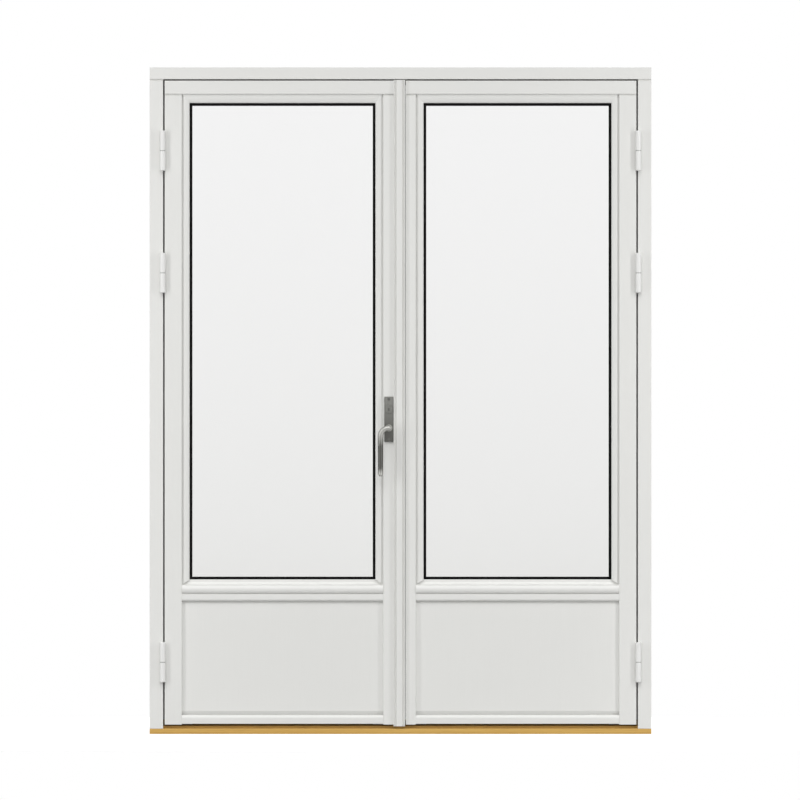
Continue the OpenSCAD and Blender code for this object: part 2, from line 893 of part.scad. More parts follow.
// Section of a bead, from the timber at 0 to the glass at w: a step, then a rounded slope
module bead_outline(w) {
    polygon(concat(
        [[0, bead_back_y]],
        ellipse([0, front_y + bead_step + bead_slope_d], w, bead_slope_d, -90, 0),
        [[w, bead_back_y]]));
}

// A side bead is mitred to the top bead and, above the nose, to the sill bead
module side_bead() {
    difference() {
        intersection() {
            along_z(nose_top, stile_top) translate([stile_in, 0]) bead_outline(bead_w);
            along_y(front_y, bead_back_y) polygon([
                [stile_in, nose_top], [stile_in + bead_w, sill_bead_z],
                [stile_in + bead_w, stile_top - top_bead_h], [stile_in, stile_top]]);
        }
        block([stile_in - cut, front_y - cut, nose_top - cut],
              [stile_in + quirk_w, front_y + bead_step + quirk_d, stile_top + cut]);
    }
}

module side_beads(leaf) {
    color(PAINT) {
        side_bead();
        translate([stile_in + leaf[1], 0, 0]) mirror([1, 0, 0]) side_bead();
    }
}

module top_bead(leaf) {
    color(PAINT) intersection() {
        along_x(stile_in, leaf[1])
            translate([0, stile_top]) mirror([0, 1]) rotate(90) mirror([0, 1]) bead_outline(top_bead_h);
        along_y(front_y, bead_back_y) polygon([
            [stile_in, stile_top], [leaf[1], stile_top],
            [leaf[1] - bead_w, stile_top - top_bead_h], [stile_in + bead_w, stile_top - top_bead_h]]);
    }
}

// Section of the sill bead: a hollow below the glass, then a round nose that throws off the rain
module sill_bead_outline() {
    polygon(concat(
        [[bead_back_y, rail_shelf_z], [bead_back_y, sill_bead_z],
         [bead_back_y - sill_edge, sill_bead_z - sill_edge]],
        ellipse([nose_y, hollow_z], hollow_run, -hollow_rise, 0, 90),
        ellipse([nose_y, nose_z], nose_d, nose_h / 2, 90, 270)));
}

module sill_bead(leaf) {
    color(PAINT) intersection() {
        along_x(stile_in, leaf[1]) sill_bead_outline();
        along_y(front_y - nose_reach - cut, bead_back_y + cut) polygon([
            [stile_in, rail_shelf_z], [leaf[1], rail_shelf_z], [leaf[1], nose_top],
            [leaf[1] - bead_w, sill_bead_z], [stile_in + bead_w, sill_bead_z],
            [stile_in, nose_top]]);
    }
}

module leaf_hinge_screws() {
    color(STEEL) hinge_screws_in_leaf();
}

// The left leaf's own pieces

module rod_bores(grow) {
    rod_z(rod_r + grow, spindle_x, leaf_mid_y, leaf_foot - cut, leaf_top + cut);
}

module lock_pocket() {
    block([spindle_x - case_half_w - case_wall - fit, leaf_mid_y - case_t / 2 - fit,
           spindle_z - case_below - fit],
          [spindle_x + case_half_w + case_wall + fit, leaf_mid_y + case_t / 2 + fit,
           spindle_z + case_above + fit]);
}

module left_meeting_stile() {
    color(PAINT) difference() {
        meeting_stile(LEFT);
        lock_pocket();
        rod_bores(turn_gap);
        rod_y(spindle_hole_r, spindle_x, front_y - cut, leaf_back_y + cut, spindle_z);
        rod_y(cylinder_r + fit, spindle_x, front_y - cut, leaf_mid_y, cylinder_z);
        rod_y(turn_hub_r + turn_gap, spindle_x, leaf_mid_y, leaf_back_y + cut, cylinder_z);
        plate_screw_set(fit);
    }
}

module left_top_rail() {
    color(PAINT) difference() {
        top_rail(LEFT);
        rod_bores(turn_gap);
    }
}

module cover_strip() {
    x0 = left_meet - strip_w;
    top_y = front_y - strip_t;
    half = strip_hollow_w / 2;
    middle = strip_edge_w + half;
    color(PAINT) along_z(leaf_foot - strip_under, leaf_top + strip_over) polygon(concat(
        [[x0, front_y], [x0, top_y]],
        ellipse([x0 + middle, top_y], half, strip_hollow_d, 180, 0),
        ellipse([left_meet - middle, top_y], half, strip_hollow_d, 180, 0),
        [[left_meet, top_y], [left_meet, front_y]]));
}

// A half-round strip on the sloping meeting edge
module meeting_seal() {
    x = left_meet - meeting_bevel * meeting_seal_share;
    y = front_y + leaf_t * meeting_seal_share;
    color(RUBBER) along_z(leaf_foot, leaf_top) intersection() {
        translate([x, y]) circle(meeting_seal_r);
        polygon([[left_meet, front_y + arris_r], [left_meet + leaf_t, front_y + arris_r],
                 [left_meet + leaf_t, leaf_back_y], [left_meet - meeting_bevel, leaf_back_y]]);
    }
}

module lock_case() {
    half = case_half_w + case_wall;
    y0 = leaf_mid_y - case_t / 2;
    y1 = leaf_mid_y + case_t / 2;
    z0 = spindle_z - case_below;
    z1 = spindle_z + case_above;
    color(STEEL) difference() {
        block([spindle_x - half, y0, z0], [spindle_x + half, y1, z1]);
        block([spindle_x - case_half_w, y0 + case_wall, z0 + case_wall],
              [spindle_x + case_half_w, y1 - case_wall, z1 - case_wall]);
        rod_bores(turn_gap);
        rod_y(pinion_hub_r + run_fit, spindle_x, y0 - cut, y1 + cut, spindle_z);
        rod_y(turn_tail / 2 + turn_gap, spindle_x, leaf_mid_y, y1 + cut, cylinder_z);
    }
}

// Handle plates, and the screws that hold them to the stile
module plate_outline() {
    translate([spindle_x, plate_z + plate_h / 2]) {
        square([plate_w - 2 * plate_corner, plate_h], center = true);
        square([plate_w, plate_h - 2 * plate_corner], center = true);
        for (sx = [-1, 1], sz = [-1, 1])
            translate([sx * (plate_w / 2 - plate_corner), sz * (plate_h / 2 - plate_corner)])
                circle(plate_corner);
    }
}

module plate_screw_set(grow = 0) {
    for (z = [plate_z + plate_screw_inset, plate_z + plate_h - plate_screw_inset]) {
        translate([spindle_x, front_y - plate_t, z]) rotate([-90, 0, 0]) wood_screw(plate_screw_l, grow);
        translate([spindle_x, leaf_back_y + plate_t, z]) rotate([90, 0, 0]) wood_screw(plate_screw_l, grow);
    }
}

// Section of a plate's bevelled front, as wide as from a to b
function plate_section(a, b) =
    let (face_y = front_y - plate_t) [
        [a, front_y], [b, front_y], [b, face_y + plate_bevel], [b - plate_bevel, face_y],
        [a + plate_bevel, face_y], [a, face_y + plate_bevel]];

module plate_body() {
    x0 = spindle_x - plate_w / 2;
    x1 = spindle_x + plate_w / 2;
    z1 = plate_z + plate_h;
    intersection() {
        along_y(front_y - plate_t, front_y) plate_outline();
        along_z(plate_z, z1) polygon(plate_section(x0, x1));
        along_x(x0, x1) polygon([for (p = plate_section(plate_z, z1)) [p[1], p[0]]]);
    }
}

module handle_plate(bore_r) {
    difference() {
        plate_body();
        rod_y(boss_r + turn_gap, spindle_x, front_y - plate_t - cut, front_y + cut, spindle_z);
        rod_y(bore_r, spindle_x, front_y - plate_t - cut, front_y + cut, cylinder_z);
        plate_screw_set(fit);
    }
}

module outer_plate() {
    color(STEEL) handle_plate(cylinder_r + fit);
}

module inner_plate() {
    color(STEEL) on_inside() handle_plate(turn_hub_r + turn_gap);
}

module plate_screws() {
    color(STEEL) plate_screw_set();
}

module lock_cylinder() {
    y0 = front_y - plate_t - cylinder_out;
    color(STEEL) difference() {
        rod_y(cylinder_r, spindle_x, y0, leaf_mid_y - case_t / 2 - fit, cylinder_z);
        block([spindle_x - key_slot_w / 2, y0 - cut, cylinder_z - key_slot_h / 2],
              [spindle_x + key_slot_w / 2, y0 + key_slot_d, cylinder_z + key_slot_h / 2]);
    }
}

// The inside knob of the lock: a hub, a flat wing to turn it by and a tail in the case
module thumb_turn() {
    y1 = leaf_back_y + plate_t;
    case_y = leaf_mid_y + case_t / 2;
    color(STEEL) {
        rod_y(turn_hub_r, spindle_x, case_y + turn_gap, y1 + cylinder_out, cylinder_z);
        rod_y(turn_tail / 2, spindle_x, case_y - case_wall, case_y + turn_gap + cut, cylinder_z);
        block([spindle_x - turn_wing_w / 2, y1 + cylinder_out - cut, cylinder_z - turn_wing_l / 2],
              [spindle_x + turn_wing_w / 2, y1 + turn_wing_d, cylinder_z + turn_wing_l / 2]);
    }
}

// The lever: a collar and a boss on the spindle, a bent neck, and the grip that hangs down
module lever() {
    elbow_z = spindle_z - grip_offset;
    grip_x = spindle_x - grip_offset;
    grip_end_z = spindle_z - grip_drop + grip_r;
    difference() {
        union() {
            rod_y(boss_r, spindle_x, lever_y, front_y - plate_t + boss_in, spindle_z);
            rod_y(collar_r, spindle_x, front_y - plate_t - turn_gap - collar_h,
                  front_y - plate_t - turn_gap, spindle_z);
            translate([spindle_x, lever_y, spindle_z]) sphere(boss_r);
            translate([spindle_x, lever_y, elbow_z]) rotate([90, 0, 0])
                rotate([0, 0, 90]) rotate_extrude(angle = 90) translate([grip_offset, 0]) circle(neck_r);
            translate([grip_x, lever_y, elbow_z]) sphere(neck_r);
            translate([grip_x, lever_y, grip_end_z])
                cylinder(r1 = grip_r, r2 = neck_r, h = elbow_z - grip_end_z);
            translate([grip_x, lever_y, grip_end_z]) sphere(grip_r);
        }
        block([spindle_x - spindle_w / 2 - fit, front_y - plate_t - socket_l - fit,
               spindle_z - spindle_w / 2 - fit],
              [spindle_x + spindle_w / 2 + fit, front_y,
               spindle_z + spindle_w / 2 + fit]);
    }
}

module outer_lever() {
    color(STEEL) lever();
}

module inner_lever() {
    color(STEEL) on_inside() lever();
}

module spindle() {
    half = spindle_w / 2;
    color(STEEL) block([spindle_x - half, front_y - plate_t - socket_l, spindle_z - half],
                       [spindle_x + half, leaf_back_y + plate_t + socket_l, spindle_z + half]);
}

// Pinion and racks. The flank of a pinion tooth is an involute, and that of a rack tooth is straight.
base_r = pitch_r * cos(pressure_angle);
root_r = pitch_r - dedendum;
tip_r = pitch_r + addendum;
flank_steps = 6;
function involute_deg(r) =
    r <= base_r ? 0 : sqrt(pow(r / base_r, 2) - 1) * 180 / PI - acos(base_r / r);
function half_tooth_deg(r) =
    90 / pinion_teeth - backlash / pitch_r * 90 / PI + involute_deg(pitch_r) - involute_deg(r);
flank_rs = concat([root_r], [for (i = [0:flank_steps]) base_r + (tip_r - base_r) * i / flank_steps]);
function around(r, a) = r * [cos(a), sin(a)];
function pinion_points() = [for (t = [0:pinion_teeth - 1])
    let (a = 360 * t / pinion_teeth, last = len(flank_rs) - 1)
        each concat(
            [for (r = flank_rs) around(r, a - half_tooth_deg(r))],
            [for (i = [0:last]) around(flank_rs[last - i], a + half_tooth_deg(flank_rs[last - i]))])];

module lock_pinion() {
    half = spindle_w / 2 + fit;
    y0 = leaf_mid_y - case_t / 2;
    y1 = leaf_mid_y + case_t / 2;
    color(STEEL) difference() {
        union() {
            along_y(leaf_mid_y - gear_w / 2, leaf_mid_y + gear_w / 2)
                translate([spindle_x, spindle_z]) polygon(pinion_points());
            rod_y(pinion_hub_r, spindle_x, y0, y1, spindle_z);
        }
        block([spindle_x - half, y0 - cut, spindle_z - half],
              [spindle_x + half, y1 + cut, spindle_z + half]);
    }
}

// Outline of a rack to the left of the pinion that can run up by the rods' travel
rack_low = ceil((rod_travel + rack_more) / tooth_pitch);
rack_high = ceil(rack_more / tooth_pitch);
slope = tan(pressure_angle);
half_tooth = tooth_pitch / 4 - backlash / 2;
function rack_points() = concat(
    [[-rack_reach_x, -rack_low * tooth_pitch]],
    [for (k = [-rack_low:rack_high - 1]) let (c = (k + 1 / 2) * tooth_pitch) each [
        [-pitch_r - dedendum, c - half_tooth - dedendum * slope],
        [-pitch_r + addendum, c - half_tooth + addendum * slope],
        [-pitch_r + addendum, c + half_tooth - addendum * slope],
        [-pitch_r - dedendum, c + half_tooth + dedendum * slope]]],
    [[-pitch_r - dedendum, bridge_z + bridge_h], [-rack_reach_x, bridge_z + bridge_h]]);

// A rod with its rack, drawn above the pinion, with its far end this far away from the spindle
module bolt_rod(l) {
    translate([spindle_x, leaf_mid_y, spindle_z]) {
        along_y(-gear_w / 2, gear_w / 2) polygon(rack_points());
        block([-rack_reach_x, -gear_w / 2, bridge_z], [0, gear_w / 2, bridge_z + bridge_h]);
        rod_z(rod_r, 0, 0, bridge_z, l);
    }
}

module upper_rod() {
    color(STEEL) bolt_rod(leaf_top - rod_inset - spindle_z);
}

// The lower rod is the upper one turned upside down about the spindle
module lower_rod() {
    color(STEEL) translate([spindle_x, 0, spindle_z]) rotate([0, 180, 0])
        translate([-spindle_x, 0, -spindle_z]) bolt_rod(spindle_z - leaf_foot - rod_inset);
}

// The right leaf's own pieces, drawn on the left side

module flush_bore() {
    rod_z(flush_r + turn_gap, flush_x, leaf_mid_y, leaf_foot - cut,
          leaf_foot + flush_inset_end + flush_l + turn_gap);
    rod_z(flush_r + turn_gap, flush_x, leaf_mid_y,
          leaf_top - flush_inset_end - flush_l - turn_gap, leaf_top + cut);
}

// The slot in the meeting edge that the tab of a flush bolt slides in
module tab_slots() {
    reach = tab_h + flush_travel + turn_gap;
    low = leaf_foot + flush_inset_end + flush_l - tab_rise;
    high = leaf_top - flush_inset_end - flush_l + tab_rise;
    y0 = leaf_mid_y - tab_w / 2 - turn_gap;
    y1 = leaf_mid_y + tab_w / 2 + turn_gap;
    block([flush_x, y0, low - reach], [right_meet + cut, y1, low + turn_gap]);
    block([flush_x, y0, high - turn_gap], [right_meet + cut, y1, high + reach]);
}

module right_meeting_stile() {
    color(PAINT) on_right() difference() {
        meeting_stile(RIGHT);
        flush_bore();
        tab_slots();
    }
}

module right_top_rail() {
    color(PAINT) on_right() difference() {
        top_rail(RIGHT);
        flush_bore();
    }
}

// A bolt whose end points up from the origin, with the tab that slides it
module flush_bolt() {
    cylinder(r = flush_r, h = flush_l);
    block([0, -tab_w / 2, tab_rise], [flush_inset - meeting_bevel / 2 - tab_recess, tab_w / 2,
                                      tab_rise + tab_h]);
}

module upper_flush_bolt() {
    color(STEEL) on_right()
        translate([flush_x, leaf_mid_y, leaf_top - flush_inset_end - flush_l]) flush_bolt();
}

module lower_flush_bolt() {
    color(STEEL) on_right()
        translate([flush_x, leaf_mid_y, leaf_foot + flush_inset_end + flush_l])
            mirror([0, 0, 1]) flush_bolt();
}

frame_head();
jamb();  // left_jamb
on_right() jamb();  // right_jamb
threshold();
frame_seal();
frame_screws();
strikes(head_z, 1);  // head_strikes
strikes(sill_seat_h, -1);  // threshold_strikes
hinge_frame_halves();
hinge_pins();
hinge_washers();
hinge_frame_screws();
hinge_stile(LEFT);  // left_hinge_stile
left_meeting_stile();
left_top_rail();
mid_rail(LEFT);  // left_mid_rail
bottom_rail(LEFT);  // left_bottom_rail
leaf_dowels(LEFT);  // left_dowels
panel(LEFT);  // left_panel
panes(LEFT);  // left_panes
spacer(LEFT);  // left_spacer
gaskets(LEFT);  // left_gaskets
top_bead(LEFT);  // left_top_bead
side_beads(LEFT);  // left_side_beads
sill_bead(LEFT);  // left_sill_bead
setting_blocks(LEFT);  // left_setting_blocks
hinge_halves();  // left_hinge_halves
leaf_hinge_screws();  // left_hinge_screws
cover_strip();
meeting_seal();
lock_case();
outer_plate();
inner_plate();
plate_screws();
lock_cylinder();
outer_lever();
inner_lever();
spindle();
lock_pinion();
upper_rod();
lower_rod();
thumb_turn();
on_right() hinge_stile(RIGHT);  // right_hinge_stile
right_meeting_stile();
right_top_rail();
on_right() mid_rail(RIGHT);  // right_mid_rail
on_right() bottom_rail(RIGHT);  // right_bottom_rail
on_right() leaf_dowels(RIGHT);  // right_dowels
on_right() panel(RIGHT);  // right_panel
on_right() panes(RIGHT);  // right_panes
on_right() spacer(RIGHT);  // right_spacer
on_right() gaskets(RIGHT);  // right_gaskets
on_right() top_bead(RIGHT);  // right_top_bead
on_right() side_beads(RIGHT);  // right_side_beads
on_right() sill_bead(RIGHT);  // right_sill_bead
on_right() setting_blocks(RIGHT);  // right_setting_blocks
on_right() hinge_halves();  // right_hinge_halves
on_right() leaf_hinge_screws();  // right_hinge_screws
upper_flush_bolt();
lower_flush_bolt();
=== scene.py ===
# %% [markdown]
# # French doors in their frame
# The solids of the doors come ready made from the CAD model: timber, glass, hinges, lock and
# screws, each a named object in metres. This lesson dresses them. It gives every solid a finish
# made of nodes, cuts the screws with their drive slots, lights the doors like a catalogue
# picture and looks at them straight from the front.

# %% Load the doors
import math

import bmesh
import bpy
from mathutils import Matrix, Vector


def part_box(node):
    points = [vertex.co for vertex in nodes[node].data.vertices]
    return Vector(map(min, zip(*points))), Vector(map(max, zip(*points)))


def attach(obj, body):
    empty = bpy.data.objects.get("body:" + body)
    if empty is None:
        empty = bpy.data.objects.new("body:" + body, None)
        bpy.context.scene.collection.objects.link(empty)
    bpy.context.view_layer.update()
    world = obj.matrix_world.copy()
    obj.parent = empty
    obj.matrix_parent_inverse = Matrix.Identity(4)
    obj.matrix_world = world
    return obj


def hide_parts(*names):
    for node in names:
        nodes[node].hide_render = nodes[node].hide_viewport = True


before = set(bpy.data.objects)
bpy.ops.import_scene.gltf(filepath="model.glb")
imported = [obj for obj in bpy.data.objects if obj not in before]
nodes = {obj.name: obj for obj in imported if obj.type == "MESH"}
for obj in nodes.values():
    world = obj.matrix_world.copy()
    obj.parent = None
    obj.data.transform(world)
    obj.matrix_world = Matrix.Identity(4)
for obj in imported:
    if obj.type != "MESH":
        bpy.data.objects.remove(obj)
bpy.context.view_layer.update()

# %% [markdown]
# ## Colours
# Colours are read off the photograph as numbers from 0 to 255. Shaders want them as amounts of
# light instead, so one small function does the change, and every finish below uses it.

# %% Colour helper
def srgb(r, g, b):
    """A colour of a picture, from 0 to 255, as the amounts of light that a shader takes."""
    parts = [c / 255 for c in (r, g, b)]
    return (*(c / 12.92 if c < 0.04045 else ((c + 0.055) / 1.055) ** 2.4 for c in parts), 1.0)


PAINT_COLOUR = srgb(228, 228, 225)
print("paint as light:", [round(c, 3) for c in PAINT_COLOUR])

# %% [markdown]
# ## A shared effect: streaks
# Brushed paint, planed timber and satin metal have one thing in common: fine lines that run
# along the piece. It could be a picture, but a noise that is squeezed across the piece and
# stretched along it gives lines of any size, with no seams. More than one finish needs it, so it
# is a node group, and each finish sets its own direction and colours on it.

# %% Node helpers
NOISE_ROUGHNESS = 0.55
# Places of the colour sockets on a Mix node, which has other sockets of the same names.
MIX_SHARE, MIX_A, MIX_B, MIX_RESULT = 0, 6, 7, 2


def add(tree, kind, **settings):
    """A new node with these properties."""
    made = tree.nodes.new(kind)
    for name, value in settings.items():
        setattr(made, name, value)
    return made


def set_inputs(made, **values):
    """Sets sockets by name, with _ for each space."""
    for name, value in values.items():
        made.inputs[name.replace("_", " ")].default_value = value
    return made


def spread(tree, value, low, high, to_low, to_high):
    """A value spread from one range to another, and held there."""
    made = add(tree, "ShaderNodeMapRange")
    set_inputs(made, From_Min=low, From_Max=high, To_Min=to_low, To_Max=to_high)
    tree.links.new(value, made.inputs["Value"])
    return made.outputs["Result"]


def noise(tree, place, scale, detail):
    """A noise over a place in space, as a value."""
    made = add(tree, "ShaderNodeTexNoise")
    set_inputs(made, Scale=scale, Detail=detail, Roughness=NOISE_ROUGHNESS)
    tree.links.new(place, made.inputs["Vector"])
    return made.outputs["Fac"]


def height(tree, low, high, to_low=0.0, to_high=1.0):
    """A value that follows the height, at rest, between two places, and is held past them."""
    split = add(tree, "ShaderNodeSeparateXYZ")
    tree.links.new(add(tree, "ShaderNodeTexCoord").outputs["Object"], split.inputs["Vector"])
    return spread(tree, split.outputs["Z"], low, high, to_low, to_high)


def combine(tree, operation, a, b):
    """Two values put together. A value is a number or another node's socket."""
    made = add(tree, "ShaderNodeMath", operation=operation)
    for socket, part in zip(made.inputs, (a, b)):
        if isinstance(part, float):
            socket.default_value = part
        else:
            tree.links.new(part, socket)
    return made.outputs["Value"]


def blend(tree, share, a, b):
    """Two colours mixed by a share. A colour is a value or another node's socket."""
    made = add(tree, "ShaderNodeMix", data_type="RGBA")
    for socket, colour in ((made.inputs[MIX_A], a), (made.inputs[MIX_B], b)):
        if isinstance(colour, tuple):
            socket.default_value = colour
        else:
            tree.links.new(colour, socket)
    tree.links.new(share, made.inputs[MIX_SHARE])
    return made.outputs[MIX_RESULT]

# %% The streak group
LINE_DETAIL, PATCH_DETAIL = 4.0, 3.0
COLOUR_RANGE, ROUGH_RANGE = (0.75, 1.25), (0.3, 0.7)


def make_streaks():
    """A node group with lines along a piece and patches all over it."""
    tree = bpy.data.node_groups.new("Streaks along a piece", "ShaderNodeTree")
    for name, kind in (("Colour", "NodeSocketColor"), ("Low colour", "NodeSocketColor"),
                       ("Lines", "NodeSocketVector"), ("Patches", "NodeSocketFloat"),
                       ("Smooth", "NodeSocketFloat"), ("Rough", "NodeSocketFloat")):
        tree.interface.new_socket(name, in_out="INPUT", socket_type=kind)
    for name, kind in (("Colour", "NodeSocketColor"), ("Roughness", "NodeSocketFloat"),
                       ("Height", "NodeSocketFloat")):
        tree.interface.new_socket(name, in_out="OUTPUT", socket_type=kind)
    enter, leave = add(tree, "NodeGroupInput"), add(tree, "NodeGroupOutput")
    place = add(tree, "ShaderNodeTexCoord").outputs["Object"]
    squeezed = add(tree, "ShaderNodeVectorMath", operation="MULTIPLY")
    tree.links.new(place, squeezed.inputs[0])
    tree.links.new(enter.outputs["Lines"], squeezed.inputs[1])
    lines = noise(tree, squeezed.outputs["Vector"], 1.0, LINE_DETAIL)
    patches = add(tree, "ShaderNodeTexNoise")
    set_inputs(patches, Detail=PATCH_DETAIL)
    tree.links.new(place, patches.inputs["Vector"])
    tree.links.new(enter.outputs["Patches"], patches.inputs["Scale"])
    both = combine(tree, "ADD", lines, patches.outputs["Fac"])
    share = spread(tree, both, *COLOUR_RANGE, 0.0, 1.0)
    colour = blend(tree, share, enter.outputs["Low colour"], enter.outputs["Colour"])
    rough = add(tree, "ShaderNodeMapRange")
    set_inputs(rough, From_Min=ROUGH_RANGE[0], From_Max=ROUGH_RANGE[1])
    tree.links.new(lines, rough.inputs["Value"])
    tree.links.new(enter.outputs["Smooth"], rough.inputs["To Min"])
    tree.links.new(enter.outputs["Rough"], rough.inputs["To Max"])
    results = {"Colour": colour, "Roughness": rough.outputs["Result"], "Height": lines}
    for name, socket in results.items():
        tree.links.new(socket, leave.inputs[name])
    return tree


STREAKS = make_streaks()
print("group:", STREAKS.name)

# %% [markdown]
# A finish is a material around that group. It could be set up by hand for each piece, but all of
# them join the same outputs to the same sockets. So one function makes the joins, and a finish is
# only its colours, its lines and whatever else the shader needs, such as metal or a clear coat.
# Some finishes show a second colour in places, such as the pores of oak. On the handle set the same
# mix paints shade and a reflection. It is mixed over the first, so a finish needs no second
# material.

# %% A finish with streaks
def finish(name, colour, low, lines, patches, smooth, rough, depth, **shader):
    """A material with streaks.

    It has two colours, lines to the metre on each axis, patches to the metre, the smoothest and the
    roughest value, and the depth of the lines in metres. The rest are sockets of the shader.
    """
    material = bpy.data.materials.new(name)
    material.use_nodes = True
    tree = material.node_tree
    skin = tree.nodes["Principled BSDF"]
    set_inputs(skin, **shader)
    streaks = add(tree, "ShaderNodeGroup", node_tree=STREAKS)
    set_inputs(streaks, Colour=colour, Low_colour=low, Lines=lines, Patches=patches)
    set_inputs(streaks, Smooth=smooth, Rough=rough)
    tree.links.new(streaks.outputs["Colour"], skin.inputs["Base Color"])
    tree.links.new(streaks.outputs["Roughness"], skin.inputs["Roughness"])
    bump = set_inputs(add(tree, "ShaderNodeBump"), Strength=1.0, Distance=depth)
    tree.links.new(streaks.outputs["Height"], bump.inputs["Height"])
    tree.links.new(bump.outputs["Normal"], skin.inputs["Normal"])
    return material


def darken(material, share_of, colour):
    """Mixes a second colour into a finish by a share, which share_of makes in its node tree."""
    tree = material.node_tree
    base = tree.nodes["Principled BSDF"].inputs["Base Color"]
    tree.links.new(blend(tree, share_of(tree), base.links[0].from_socket, colour), base)

# %% [markdown]
# ## Painted timber
# The frame and the leaves are pine under white satin enamel. The brush runs with the grain, so
# uprights have marks along Z and cross pieces along X: the same finish in two directions. The
# marks are a few hundredths of a millimetre deep, enough to break up a highlight.

# %% Paint for uprights and cross pieces
PAINT_LOW = srgb(226, 226, 223)
FINE, LONG = 700.0, 9.0


def paint(name, lines):
    """White enamel with brush marks along these lines."""
    return finish(name, PAINT_COLOUR, PAINT_LOW, lines, patches=2.4, smooth=0.36, rough=0.46,
                  depth=0.00004, Coat_Weight=0.1, Coat_Roughness=0.25)


upright_paint = paint("white enamel on uprights", (FINE, FINE, LONG))
cross_paint = paint("white enamel on cross pieces", (LONG, FINE, FINE))


def on_both_leaves(*pieces):
    """The names of these pieces on the left leaf and on the right leaf."""
    return [side + piece for side in ("left_", "right_") for piece in pieces]


UPRIGHTS = ["left_jamb", "right_jamb", "cover_strip"]
UPRIGHTS += on_both_leaves("hinge_stile", "meeting_stile", "panel", "side_beads")
CROSS_PIECES = ["frame_head"]
CROSS_PIECES += on_both_leaves("top_rail", "mid_rail", "bottom_rail", "top_bead", "sill_bead")


def dress(names, material):
    """Gives CAD solids their finish."""
    for name in names:
        nodes[name].data.materials.clear()
        nodes[name].data.materials.append(material)


dress(UPRIGHTS, upright_paint)
dress(CROSS_PIECES, cross_paint)
print("painted:", len(UPRIGHTS) + len(CROSS_PIECES))

# %% [markdown]
# ## Oiled oak
# The threshold is oak, oiled to a warm honey colour. Oak shows long bands where the year rings
# are cut, and short dark pores along the grain. The bands come from the streak group, and the
# pores are a finer noise of the same direction that only darkens where it is high. The dowels
# that join rails and stiles are beech, which is left raw.

# %% Oak
PORE_LINES, PORE_DETAIL = (22.0, 900.0, 900.0), 2.0
PORE_FROM, PORE_FULL, PORE_SHARE = 0.6, 0.75, 0.5
oak = finish("oiled oak", srgb(213, 173, 92), srgb(197, 154, 76), lines=(3.0, 160.0, 160.0),
             patches=1.6, smooth=0.4, rough=0.55, depth=0.00015)


def pores(tree):
    """Short dark lines along the grain."""
    place = add(tree, "ShaderNodeTexCoord").outputs["Object"]
    grain = set_inputs(add(tree, "ShaderNodeMapping"), Scale=PORE_LINES)
    tree.links.new(place, grain.inputs["Vector"])
    fine_grain = noise(tree, grain.outputs["Vector"], 1.0, PORE_DETAIL)
    return spread(tree, fine_grain, PORE_FROM, PORE_FULL, 0.0, PORE_SHARE)


darken(oak, pores, srgb(140, 98, 42))
dress(["threshold"], oak)
beech = finish("raw beech", srgb(214, 178, 134), srgb(196, 158, 112), lines=(40.0, 600.0, 600.0),
               patches=6.0, smooth=0.6, rough=0.75, depth=0.0001)
dress(on_both_leaves("dowels"), beech)
print("oak and beech are ready")

# %% [markdown]
# ## Glass
# Each leaf holds two panes. Seen from the front, the sky gives them a light grey reflection that is
# a little deeper towards the foot. That reflection is painted into the glass as a tint that changes
# with height. The tint sits in the colour of a clear shader, so the panes still bend and mirror
# light as glass does.

# %% Glass
glass = bpy.data.materials.new("clear pane with painted reflection")
glass.use_nodes = True
glass_tree = glass.node_tree
pane_skin = glass_tree.nodes["Principled BSDF"]
set_inputs(pane_skin, Roughness=0.0, IOR=1.45, Transmission_Weight=1.0)
pane_low, pane_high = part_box("left_panes")
REFLECTION_TINT_CURVE = 0.5
# The tint is a painted reflection: paler at the top of the panes and a deeper grey at their foot.
painted_reflection_share = combine(glass_tree, "POWER", height(glass_tree, pane_low.z, pane_high.z), REFLECTION_TINT_CURVE)
painted_reflection_tint = blend(glass_tree, painted_reflection_share, srgb(240, 240, 239), srgb(249, 249, 249))
glass_tree.links.new(painted_reflection_tint, pane_skin.inputs["Base Color"])
dress(on_both_leaves("panes"), glass)
print("panes from", round(pane_low.z, 3), "to", round(pane_high.z, 3))

# %% [markdown]
# ## Rubber and plastic
# Gaskets and seals are black extruded rubber, matt with a fine drag from the die. The blocks
# under the glass are a hard plastic, and the bars between the panes are aluminium. All three are
# the streak finish again with small values.

# %% Rubber, plastic and the spacer bars
rubber = finish("black rubber", srgb(14, 14, 14), srgb(8, 8, 8), lines=(300.0, 300.0, 300.0),
                patches=9.0, smooth=0.7, rough=0.85, depth=0.00003, Specular_IOR_Level=0.08)
dress(["frame_seal", "meeting_seal"] + on_both_leaves("gaskets"), rubber)
block_plastic = finish("grey block plastic", srgb(66, 70, 76), srgb(54, 58, 64),
                       lines=(200.0, 200.0, 200.0), patches=9.0, smooth=0.45, rough=0.6,
                       depth=0.00004)
dress(on_both_leaves("setting_blocks"), block_plastic)
bar_metal = finish("spacer aluminium", srgb(186, 187, 188), srgb(170, 171, 172),
                   lines=(30.0, 900.0, 900.0), patches=5.0, smooth=0.3, rough=0.42,
                   depth=0.00002, Metallic=1.0)
dress(on_both_leaves("spacer"), bar_metal)
print("rubber, blocks and bars are ready")

# %% [markdown]
# ## Metal
# The hinges are white enamelled steel, smoother than the timber. The handle set is satin steel,
# brushed along the plate, and the hidden hardware is zinc plated. All are the streak finish, and
# the bare steel is set to metal.

